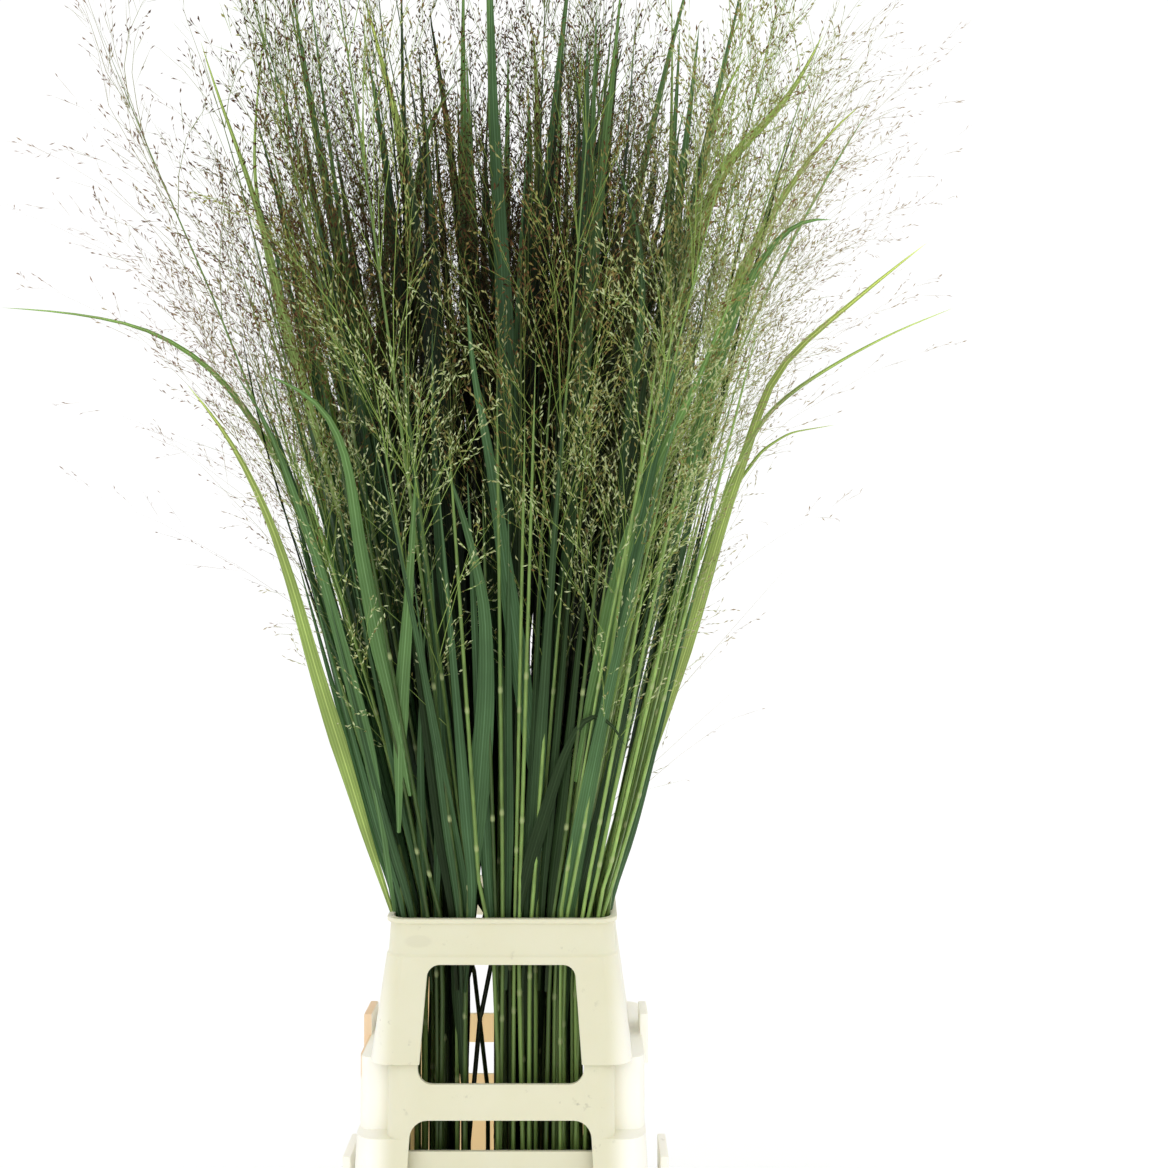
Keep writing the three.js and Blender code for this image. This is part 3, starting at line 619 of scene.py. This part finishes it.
# The leaves that stand out in the photograph: stem, the CAD leaf replaced or None for one more, how far
# forward, width, tone, turn, and x, z by turns along the middle line from the root to the tip.
seen_blades = [
    (33, None, -1.0, 13, 0.97, 0.3, [-88, 404, -94, 426, -105, 463, -117, 512, -131, 564, -144, 615, -153,
        657, -169, 713, -189, 760, -208, 791, -225, 811]),
    (33, 2, -1.0, 13, 0.6, -0.3, [-86, 404, -90, 442, -101, 533, -120, 621, -135, 684, -151, 734, -167, 783,
        -180, 805, -190, 820]),
    (30, 1, 0.1, 8, 0.8, 0.5, [-115, 560, -134, 651, -158, 699, -188, 755, -223, 811, -253, 850, -275, 865,
        -310, 886, -366, 898, -405, 902, -440, 904]),
    (20, 2, -1.03, 14, 0.66, 0.2, [-70, 500, -78, 559, -88, 606, -96, 653, -103, 698, -107, 743, -112, 769,
        -122, 791, -135, 804, -152, 812, -168, 818]),
    (28, 2, -1.03, 13, 0.66, -0.2, [-80, 470, -78, 528, -75, 576, -70, 622, -67, 653, -63, 698, -58, 753]),
    (28, 1, -1.0, 18, 0.52, 0.1, [-26, 380, -24, 430, -20, 471, -16, 512, -10, 576, -9, 622, -10, 653, -15,
        676, -24, 713, -31, 735, -39, 757]),
    (15, 0, -0.95, 11, 0.3, 0.4, [2, 379, 3, 421, 5, 454, 5, 511, 3, 575, 0, 637]),
    (23, 1, -0.95, 16, 0.5, -0.2, [32, 454, 29, 495, 20, 571, 11, 637, 4, 691, -1, 735, -8, 779, -13, 801,
        -18, 837, -20, 875]),
    (23, None, -1.06, 12, 0.22, 0.2, [11, 380, 15, 413, 24, 451, 36, 489, 47, 525, 58, 551, 66, 563, 72, 567,
        79, 566, 88, 557, 98, 539]),
    (31, 1, -1.0, 13, 0.75, 0.3, [59, 511, 69, 571, 79, 614, 88, 659, 98, 698, 110, 732, 124, 766, 144, 802,
        160, 842, 173, 874]),
    (34, 1, -0.1, 14, 1.0, 0.4, [92, 410, 103, 449, 116, 506, 124, 529, 135, 560, 147, 599, 161, 643, 178,
        706, 192, 751, 206, 786, 214, 819, 223, 846, 245, 864, 288, 899, 330, 934, 353, 951]),
    (34, 2, -0.2, 5, 0.95, 0.6, [162, 685, 186, 751, 215, 805, 244, 829, 285, 854, 326, 875, 371, 893]),
    (26, 2, -0.5, 15, 0.65, 0.2, [140, 700, 151, 757, 162, 813, 184, 882, 198, 907, 210, 927, 226, 944, 242,
        952, 259, 949]),
    (29, None, 0.4, 3.5, 0.95, 0.3, [190, 730, 205, 758, 225, 785, 250, 801, 291, 808]),
    (21, 2, 0.1, 9, 1.0, 0.3, [165, 830, 183, 884, 202, 937, 223, 976, 239, 1002, 252, 1021, 266, 1041, 284,
        1062, 306, 1081]),
    (16, 2, 0.5, 13, 0.95, 0.3, [146, 879, 161, 945, 176, 1007, 189, 1040, 208, 1069, 234, 1094, 258, 1123,
        278, 1157, 291, 1184]),
    (8, 2, 0.2, 12, 0.9, 0.3, [120, 800, 141, 888, 159, 977, 171, 1039, 182, 1079, 195, 1113, 211, 1136]),
    (18, 2, -0.7, 9, 0.55, -0.3, [90, 700, 97, 769, 106, 836, 110, 881, 108, 925, 97, 961, 86, 991]),
    (22, 2, 0.5, 13, 1.0, -0.2, [-82, 850, -87, 926, -94, 993, -102, 1050, -110, 1103, -121, 1142, -132,
        1184, -142, 1220]),
    (4, 2, 0.3, 16, 0.7, 0.1, [-88, 740, -91, 803, -90, 903, -88, 978, -83, 1032, -76, 1071, -65, 1097, -50,
        1119]),
    (15, 2, 0.2, 11, 0.7, 0.2, [-33, 750, -37, 840, -40, 960, -41, 1080, -42, 1160, -41, 1235]),
    (2, 2, 0.1, 13, 0.95, 0.2, [30, 780, 30, 855, 27, 959, 26, 1046, 24, 1101, 21, 1147]),
    (10, 2, 0.0, 11, 0.95, 0.2, [72, 720, 70, 795, 68, 888, 64, 964, 60, 1024, 61, 1076, 63, 1124]),
    (5, 2, -0.25, 6, 0.85, 0.2, [116, 720, 124, 800, 132, 897, 136, 1018, 137, 1089, 136, 1145]),
    (25, 2, -0.3, 9, 0.92, -0.3, [-128, 690, -142, 750, -169, 847, -189, 931, -201, 979, -212, 1011, -223,
        1042, -232, 1068, -242, 1101]),
    (35, 2, 0.8, 6, 0.9, -0.3, [-173, 763, -221, 899, -248, 1009, -259, 1071, -259, 1133, -256, 1197, -252,
        1251]),
    (23, 2, -0.8, 10, 0.15, 0.3, [40, 375, 40, 480, 38, 570, 40, 660, 44, 745, 50, 805]),
    (20, 0, -0.95, 8, 0.4, 0.3, [-62, 375, -63, 429, -63, 495, -62, 543, -59, 599, -55, 645]),
    (7, None, 0.1, 15, 0.1, 0.3, [-22, 430, -27, 560, -34, 715, -45, 830, -53, 920, -60, 1010, -66, 1090]),
    (27, None, 0.35, 14, 0.15, -0.3, [-14, 430, -20, 600, -27, 715, -38, 850, -44, 960, -50, 1120]),
    (7, None, -0.2, 14, 0.2, -0.2, [-30, 430, -36, 600, -42, 715, -52, 850, -63, 1000, -70, 1110]),
    (28, None, -0.95, 9, 0.4, -0.2, [-54, 375, -52, 429, -47, 495, -45, 543, -46, 591, -49, 637, -50, 683]),
]
# Leaves that stay close to their culm, so that they keep within the photograph's outline.
upright = [(25, 0), (26, 0), (29, 0), (30, 0), (30, 2), (31, 2), (33, 0), (33, 1), (34, 0)]

# Slender culms that fill the collar out to its walls, each put with the bunch that stands nearest.
scatter = np.random.default_rng(11)
edge_turns = (np.arange(100) + scatter.uniform(-0.35, 0.35, 100)) * 2 * math.pi / 100
edge_ways = np.stack([np.cos(edge_turns), np.sin(edge_turns)], axis=1)
edge_far = 1 / np.max([np.abs(edge_ways[:, 0]) / 80.5, np.abs(edge_ways[:, 1]) / 72.5,
                       np.abs(edge_ways).sum(axis=1) / 146], axis=0)
edge_places = edge_ways * (edge_far - scatter.uniform(0, 7, 100))[:, None]
edge_stems = [int(np.argmin(np.hypot(*(places * (sheaf_x, sheaf_y) - place).T))) for place in edge_places]

# One spikelet, 1 long and 1 wide, is modelled once: a seed husk pointed at both ends, of four faces. Drawn
# out thin, the same shape is the twig that carries it.
select()
bpy.ops.mesh.primitive_cone_add(vertices=3, radius1=0.52, radius2=0, depth=1, location=(0, 0, 0.5))
spikelet = bpy.context.object
bpy.ops.object.transform_apply(location=True)
bpy.ops.object.mode_set(mode="EDIT")
bpy.ops.mesh.select_mode(type="VERT")
husk = bmesh.from_edit_mesh(spikelet.data)
for pair, way in ((True, (0, -0.02, 0.55)), (False, (0, -0.4, 0))):
    for vert in husk.verts:
        low = vert.co.z < 0.5
        vert.select = low and (vert.co.y < 0) == pair
    husk.select_flush_mode()
    bmesh.update_edit_mesh(spikelet.data)
    bpy.ops.transform.translate(value=way)
bpy.ops.mesh.select_all(action="SELECT")
bpy.ops.mesh.normals_make_consistent(inside=False)
bpy.ops.object.mode_set(mode="OBJECT")
spikelet_points = np.array([vert.co for vert in spikelet.data.vertices])
spikelet_faces = np.array([face.vertices for face in spikelet.data.polygons])
bpy.data.objects.remove(spikelet)


def frames(direction, turn):
    """Two directions square to each direction, turned about it."""
    helper = np.where(np.abs(direction[:, 2:]) < 0.9, [[0.0, 0.0, 1.0]], [[1.0, 0.0, 0.0]])
    first = np.cross(direction, helper)
    first /= np.linalg.norm(first, axis=1, keepdims=True)
    second = np.cross(direction, first)
    cos, sin = np.cos(turn)[:, None], np.sin(turn)[:, None]
    return first * cos + second * sin, second * cos - first * sin


def unit(vectors):
    return vectors / np.linalg.norm(vectors, axis=1, keepdims=True)


def copied(skin, roots, ways, long, wide, noise, tone, along, across):
    """Adds a copy of the spikelet's shape at each root, pointing its way, with its own length and width."""
    count, corners = len(roots), len(spikelet_points)
    first, second = frames(ways, noise.uniform(0, 2 * math.pi, count))
    x, y, z = spikelet_points.T
    points = (roots[:, None] + first[:, None] * (x * wide[:, None])[..., None]
        + second[:, None] * (y * wide[:, None])[..., None] + ways[:, None] * (z * long[:, None])[..., None])
    every = (spikelet_faces[None] + np.arange(count)[:, None, None] * corners).reshape(-1, 3)
    lay(skin, points.reshape(-1, 3), every, 2, np.repeat(tone, corners), along, np.repeat(across, corners))


def side_paleness(points):
    """How far points are out left or right of the sheaf, 0 to 1, where painted light makes the haze pale."""
    return np.clip(np.abs(points[:, 0]) / spread(points[:, 2])[0] - 0.9, 0, 0.5) / 0.5


def open_panicle(skin, lines, noise, ripe, spacing, seeds, ripe_z):
    """Branches along lines of (points, length), twigs this far apart along them, and spikelets on them."""
    steps = np.array([0, 6, 12, 18, 24])
    starts, ways, twig_long = [], [], []
    for at, long in lines:
        points = at[steps]
        pale = side_paleness(points[:-1])
        stalk(skin, points[:-1], np.linspace(0.42, 0.16, 4) * (1 - 0.4 * pale), 3, 2, ripe, np.zeros(4),
            pale * 0.7, points[-1])
        twigs = max(4, int(long / spacing))
        share = 0.18 + 0.82 * (np.arange(twigs) + noise.uniform(0, 0.9, twigs)) / twigs
        position = share * line_steps
        low = np.minimum(position.astype(int), line_steps - 1)
        part = (position - low)[:, None]
        starts.append(at[low] * (1 - part) + at[low + 1] * part)
        ways.append(unit(at[low + 1] - at[low]))
        twig_long.append((12 + long * 0.24 * (1.15 - share)) * noise.uniform(0.6, 1.25, twigs))
    starts, ways, twig_long = np.concatenate(starts), np.concatenate(ways), np.concatenate(twig_long)
    borne = noise.uniform(0, 1, len(starts)) > 0.6 * side_paleness(starts)
    starts, ways, twig_long = starts[borne], ways[borne], twig_long[borne]
    count = len(starts)
    side, _ = frames(ways, noise.uniform(0, 2 * math.pi, count))
    angle = noise.uniform(0.2, 0.7, count)[:, None]
    twig_ways = unit(ways * np.cos(angle) + side * np.sin(angle))
    pale = side_paleness(starts)
    copied(skin, starts, twig_ways, twig_long, 0.45 - 0.2 * pale, noise, np.full(count, ripe), 0.0,
        pale * 0.75)

    share = np.tile(np.linspace(0.3, 1.0, seeds), count) + noise.uniform(-0.1, 0.0, count * seeds)
    which = np.repeat(np.arange(count), seeds)
    chance = np.minimum(1, twig_long[which] / (seeds * 4)) * (1 - np.clip((starts[which, 2] - 930) / 350, 0,
        0.75))
    left_top = np.clip((-starts[which, 0] - 60) / 80, 0, 1) * np.clip((starts[which, 2] - 900) / 100, 0, 1)
    borne = noise.uniform(0, 1, count * seeds) < chance * (1 - 0.5 * pale[which]) * (1 - 0.4 * left_top)
    share, which = share[borne], which[borne]
    number = len(which)
    roots = starts[which] + twig_ways[which] * (twig_long[which] * share)[:, None]
    side, _ = frames(twig_ways[which], noise.uniform(0, 2 * math.pi, number))
    angle = noise.uniform(0.1, 0.75, number)[:, None]
    seed_ways = unit(twig_ways[which] * np.cos(angle) + side * np.sin(angle))
    pale = side_paleness(roots)
    tone = ripe + 0.3 * np.clip((roots[:, 2] - ripe_z) / 400, 0, 1) + noise.normal(0, 0.2, number)
    copied(skin, roots, seed_ways, noise.uniform(3.6, 5.6, number),
        noise.uniform(1.2, 1.9, number) * (1 - 0.4 * pale), noise, np.clip(tone, 0, 1), 1.0, pale * 0.75)


# The two culms that cross in the gap, and how far each leans to the right through the window.
crossing = {7: 12, 27: -12}
for stem in range(stem_count):
    between = draws(stem)
    u, v = places[stem]
    outer = min(1, math.hypot(u, v))
    bow = between(30, 75)
    sway = between(0, 9)
    sway_angle = between(0, 2 * math.pi)
    shape = {"panicle_length": between(370, 450), "top": between(1040, 1260) - 60 * outer * outer}
    outward = math.atan2(v, u) + between(-0.5, 0.5)
    shape["panicle_z"] = shape["top"] - shape["panicle_length"]
    shape["turn"] = outward - 2 * whorl_turn
    roots = [between(190, 330), between(410, 540), shape["panicle_z"] - between(60, 160)]
    across = 1 if between(0, 1) < 0.5 else -1
    leaves = []
    for k, root in enumerate(roots):
        leaf = {"start": min(root, shape["panicle_z"] - 40)}
        leaf["facing"] = outward + (k % 2) * across * 2 * math.pi / 3 + between(-0.2, 0.2)
        leaf["length"] = between(410, 570)
        leaf["width"] = between(12, 17)
        leaf["lean"] = between(0.03, 0.08)
        leaf["bend"] = between(0.05, 0.15)
        if k > 0:
            leaf["bend"] += outer ** 3 * between(0, 0.3)
        leaf["twist"] = between(-0.9, 0.9)
        leaves.append(leaf)
    shape["branches"] = []
    for k in range(3 * whorls):
        along = (k // 3 + 0.05) / whorls
        branch = {"length": shape["panicle_length"] * (0.22 + 0.36 * (1 - along)) * between(0.8, 1.15)}
        branch["lean"] = between(0.26, 0.46)
        branch["bend"] = between(0.1, 0.35) + 0.25 * outer ** 3
        shape["branches"].append(branch)
    for which, number in upright:
        if which == stem:
            leaves[number].update(lean=0.02, bend=0.0)
    if v < -0.3:
        for leaf in leaves:
            leaf["length"] = min(leaf["length"], max(200, front_top - leaf["start"]))

    heights = np.arange(foot_z, 1420, 6.0)
    rise = np.maximum(0, heights - rim_z) / 800
    half_x, half_y = spread(heights)
    axis = np.stack([u * half_x, v * half_y, heights], axis=1)
    lean_out = bow * rise ** 2 * math.hypot(u, v) ** 3
    swaying = sway * np.sin(math.pi * np.minimum(1, rise * 1.3))
    bent = axis.copy()
    bent[:, 0] += lean_out * u + swaying * math.cos(sway_angle)
    bent[:, 1] += lean_out * v + swaying * math.sin(sway_angle)
    corners = np.array([(3, 0, 0), (0, 3, 0), (-3, 0, 0), (0, -3, 0)], float)
    culm_line, _ = kept(stem, axis, bent, np.broadcast_to(corners, (len(bent), 4, 3)))
    if stem in crossing:
        culm_line[:, 0] += crossing[stem] * np.interp(heights, [270, 362, 430], [-1, 1, 0])
    else:
        culm_line[:, 0] += parted(culm_line, 2)

    def culm_at(z, line=culm_line, heights=heights):
        return np.stack([np.interp(z, heights, line[:, 0]), np.interp(z, heights, line[:, 1]), z], axis=1)

    more = draws(1000 + stem)
    skin = new_skin()
    # Culm tone: random, and paler towards the right and the front.
    stem_tone = min(1, max(0, 0.22 + more(-0.25, 0.25) + 0.45 * max(0, u) - 0.1 * v))
    # Ripeness, and darkness with it, rises to the back, the middle, the inner bunches and the left:
    # partly each panicle's own, partly painted shade in the core and painted light outside it.
    ripe = 0.22 + 0.6 * more(0, 1) + 0.2 * v + 0.15 * (0.6 - outer) + 0.25 * max(0, 1 - abs(u) / 0.45)
    ripe -= 0.2 * u + 0.45 * max(0, u - 0.1)
    ripe = min(1, max(0.05, ripe))
    # Painted light: front bunches, more so on the left, get lighter leaves.
    lit = min(1, max(0, -v - 0.2)) * (1 if u < 0 else 0.6)
    radius_zs = [foot_z, rim_z, (rim_z + shape["panicle_z"]) / 2, shape["panicle_z"], shape["top"]]
    radius_values = [2.0, 1.95, 1.75, 1.3, 0.3]
    nodes = [leaf["start"] - more(90, 130) for leaf in leaves] + [more(70, 110), shape["panicle_z"] - 4]

    def radius_at(z, zs=radius_zs, values=radius_values):
        return np.interp(z, zs, values)

    jointed_culm(skin, culm_at, foot_z, shape["top"], radius_at, nodes, stem_tone)
    drawn = [number for which, number, *_ in seen_blades if which == stem]
    # Leaf tones here and below: random, plus painted light on outer bunches and lit front ones.
    for k, leaf in enumerate(leaves):
        tone = 0.02 + 0.26 * outer ** 2 + 0.4 * more(0, 1) * (1 + 1.0 * (k == 2) * abs(u)) + 0.15 * lit
        if k not in drawn:
            blade(skin, stem, culm_at, culm_at, leaf, min(1, tone))
    for which, _, forward, width, tone, turn, points in seen_blades:
        if which == stem:
            seen_blade(skin, stem, forward, points, width, turn, tone)
    for k in range(3):
        leaf = drawn_leaf(more, more(60, 330) if k == 0 else more(380, 620), (380, 520),
                          (5, 9) if k == 0 else (7, 12), (0.01, 0.04), (0.02, 0.1))
        held_in(leaf, u, v, more, 200, front_top)
        blade(skin, stem, culm_at, culm_at, leaf, more(0, 0.25) + 0.2 * outer ** 2 + 0.15 * lit)
    for _ in range(5 if outer < 0.75 else 0):
        leaf = drawn_leaf(more, more(520, 760), (380, 470), (11, 18), (0.0, 0.04), (0.02, 0.12))
        blade(skin, stem, culm_at, culm_at, leaf, more(0.2, 0.75))
    turned = more(0, 2 * math.pi)
    in_front = v < -0.35
    for k in range(3):
        aside = turned + 2.4 * k + more(-0.4, 0.4)
        apart = more(4.5, 11)
        top = (more(760, 900) if in_front else more(850, 960), more(450, 720), more(700, 900))[k]

        def shoot_at(z, aside=aside, apart=apart):
            main = culm_at(z)
            wider = apart * (1 + np.maximum(0, z - rim_z) / 330)
            moved = main + np.stack([wider * math.cos(aside), wider * math.sin(aside), np.zeros_like(z)],
                axis=1)
            held = kept(stem, main, moved, np.broadcast_to(corners * 0.7, (len(z), 4, 3)))[0]
            held[:, 0] += parted(held, 2)
            return held

        jointed_culm(skin, shoot_at, foot_z, top, lambda z: np.interp(z, [0, 600, 960], [1.8, 1.3, 0.4]),
            [more(120, 200), more(260, 380), more(420, 500), more(560, 610)][:3 if top < 650 else 4],
            min(1, max(0, stem_tone + more(-0.3, 0.3))), sides=5)
        if k == 0 or k == 2 and (in_front and abs(u) > 0.3 or u > 0.55):
            young = []
            for _ in range(5 if in_front and abs(u) < 0.3 else 14 if in_front and u < 0 else 10):
                z = top - more(20, 270)
                long = more(60, 110) + 0.2 * (top - z)
                at, _, _ = bent_line(shoot_at, z, more(0, 2 * math.pi), long, more(0.3, 0.8), more(0.0, 0.4))
                young.append((at, long))
            open_panicle(skin, young, np.random.default_rng(900 + 40 * k + stem),
                0.05 if in_front or u > 0.55 else 0.4 * ripe, 13, 5, 760)
        if k == 1:
            leaf = drawn_leaf(more, top - 25, (300, 480), (8, 13), (0.02, 0.08), (0.05, 0.2), 0.9)
            held_in(leaf, u, v, more, 160, front_top + 20)
            blade(skin, stem, culm_at, shoot_at, leaf, more(0, 0.3) + 0.2 * outer ** 2)
    for place, nearest in zip(edge_places, edge_stems):
        if nearest != stem:
            continue
        top, slant = more(560, 880), more(-9, 9)
        side_x, side_y = place

        def edge_at(z, x=side_x, y=side_y, slant=slant):
            half_x, half_y = spread(z)
            over_rim = 0.045 * np.clip((z - 335) / 65, 0, 1) + 0.06 * np.clip((z - rim_z) / 40, 0, 1)
            line = np.stack([x * (half_x / sheaf_x + over_rim), y * (half_y / sheaf_y + over_rim * 0.4), z],
                axis=1)
            line[:, 0] += slant * np.clip(1 - z / rim_z, 0, 1)
            line[:, 0] += parted(line, 2)
            line[:, 0] = np.where(z < 335, np.clip(line[:, 0], -81, 81), line[:, 0])
            return line

        if more(0, 1) < 0.5 - 0.45 * side_x / 80:
            path = edge_at(np.linspace(340, 340 + more(300, 430), 6))
            seen_blade(skin, stem, side_y / sheaf_y, path[:, [0, 2]], more(6, 12), more(-0.9, 0.9),
                more(0.1, 0.5))
        else:
            jointed_culm(skin, edge_at, foot_z, top, lambda z: np.interp(z, [0, 600, 960], [1.8, 1.4, 0.5]),
                [more(150, 220), more(300, 380), more(430, 500), more(560, 610)][:3 if top < 650 else 4],
                min(1, max(0.05, 0.32 + 0.35 * side_x / 80 + more(-0.35, 0.35))), sides=6)
    base, length = shape["panicle_z"], shape["panicle_length"]
    lines = []
    for k, branch in enumerate(shape["branches"]):
        whorl, corner = divmod(k, 3)
        z = base + (whorl + 0.05) / whorls * length + 1.5
        facing = shape["turn"] + whorl * whorl_turn + (2 * corner + 1) * math.pi / 3
        at, _, _ = bent_line(culm_at, z, facing, branch["length"], branch["lean"], branch["bend"])
        lines.append((kept(stem, culm_at(at[:, 2]), at, np.zeros((len(at), 1, 3)))[0], branch["length"]))
    for k in range(12 if v < -0.4 else 24 if outer < 0.75 else 18):
        along = 0.92 * more(0, 1) ** 1.4 - 0.08
        long = length * (0.2 + 0.3 * (1 - along)) * more(0.75, 1.1)
        facing, lean, bend = more(0, 2 * math.pi), more(0.15, 0.45), more(0.05, 0.4)
        if outer > 0.75 and k % 2:
            facing, lean, bend = math.atan2(v, u) + more(-0.8, 0.8), more(0.45, 0.8), more(0.2, 0.55)
            along, long = more(0, 0.6), more(130, 260)
        at, _, _ = bent_line(culm_at, base + along * length, facing, long, lean, bend)
        lines.append((at, long))
    for at, long in lines:
        reach = at[-1] - at[0]
        room = np.where(reach[:2] > 0, (haze_right, haze_deep), (haze_left, haze_deep)) - np.abs(at[0, :2])
        room = np.where(np.sign(reach[:2]) == np.sign(at[0, :2]), room, 1000)
        at[:, :2] = at[0, :2] + (at[:, :2] - at[0, :2]) * min(1, (room / np.abs(reach[:2])).min())
    noise = np.random.default_rng(700 + stem)
    if v < -0.4 and abs(u) < 0.5:
        spacing, seeds = 15, 5
    else:
        spacing, seeds = (8.5, 8) if outer < 0.75 else (10, 7)
    open_panicle(skin, lines, noise, ripe, spacing, seeds, 640)

    # Painted shade: the deep value darkens points inside the sheaf, more so lower down.
    points = np.concatenate(skin["points"])
    half_x, half_y = spread(points[:, 2])
    inside = 0.9 - np.maximum(np.abs(points[:, 0]) / half_x, np.abs(points[:, 1]) / half_y)
    skin["deep"] = [np.clip(inside / 0.5, 0, 0.92) * np.clip((1120 - points[:, 2]) / 220, 0.12, 1)]
    points = points * mm
    faces = np.concatenate(skin["faces"])
    mesh = bpy.data.meshes.new("stem_%02d_bunch" % (stem + 1))
    mesh.vertices.add(len(points))
    mesh.vertices.foreach_set("co", points.ravel())
    mesh.loops.add(faces.size)
    mesh.loops.foreach_set("vertex_index", faces.ravel())
    mesh.polygons.add(len(faces))
    mesh.polygons.foreach_set("loop_start", np.arange(0, faces.size, 3))
    mesh.polygons.foreach_set("material_index", np.concatenate(skin["slots"]))
    for name in ("tone", "along", "across", "deep"):
        attribute = mesh.attributes.new(name, "FLOAT", "POINT")
        attribute.data.foreach_set("value", np.concatenate(skin[name]).astype(np.float32))
    for material in (leaf_blade, straw, panicle):
        mesh.materials.append(material)
    mesh.update(calc_edges=True)
    piece = bpy.data.objects.new(mesh.name, mesh)
    bpy.context.scene.collection.objects.link(piece)
    select(piece)
    bpy.ops.object.shade_smooth_by_angle(angle=math.radians(50))
    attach(piece, "root")
    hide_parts("stem_%02d" % (stem + 1))


# Studio
# A white floor and backdrop in soft light from all round, and the photograph's level camera.
white_card, tree = new_material("white card")
card = add(tree, "BsdfPrincipled", {"Base Color": (1, 1, 1, 1), "Roughness": 0.9})
add(tree, "OutputMaterial", {"Surface": card})
select()
bpy.ops.mesh.primitive_plane_add(size=14, location=(0, 0, 0))
floor = bpy.context.object
floor.name = "floor"
floor.data.materials.append(white_card)

world = bpy.data.worlds.new("white room")
bpy.context.scene.world = world
world.use_nodes = True
world.node_tree.nodes["Background"].inputs["Color"].default_value = (1, 1, 1, 1)
world.node_tree.nodes["Background"].inputs["Strength"].default_value = 1.05

for name, place, size, power in (
    ("front left", (-1.6, -1.9, 2.1), 1.6, 6),
    ("front right", (1.7, -1.7, 1.8), 1.6, 4),
):
    lamp = bpy.data.lights.new(name, "AREA")
    lamp.size = size
    lamp.energy = power
    light = bpy.data.objects.new(name, lamp)
    bpy.context.scene.collection.objects.link(light)
    light.location = place
    light.rotation_euler = (Vector((0, 0, 0.7)) - Vector(place)).to_track_quat("-Z", "Y").to_euler()

bpy.context.scene.view_settings.view_transform = "Standard"
camera = bpy.data.objects.new("camera", bpy.data.cameras.new("camera"))
bpy.context.scene.collection.objects.link(camera)
camera.location = (0.0654, -1.141, 0.665)
camera.rotation_euler = (math.pi / 2, 0, 0)
camera.data.sensor_width = 36
camera.data.lens = 41.33
bpy.context.scene.camera = camera
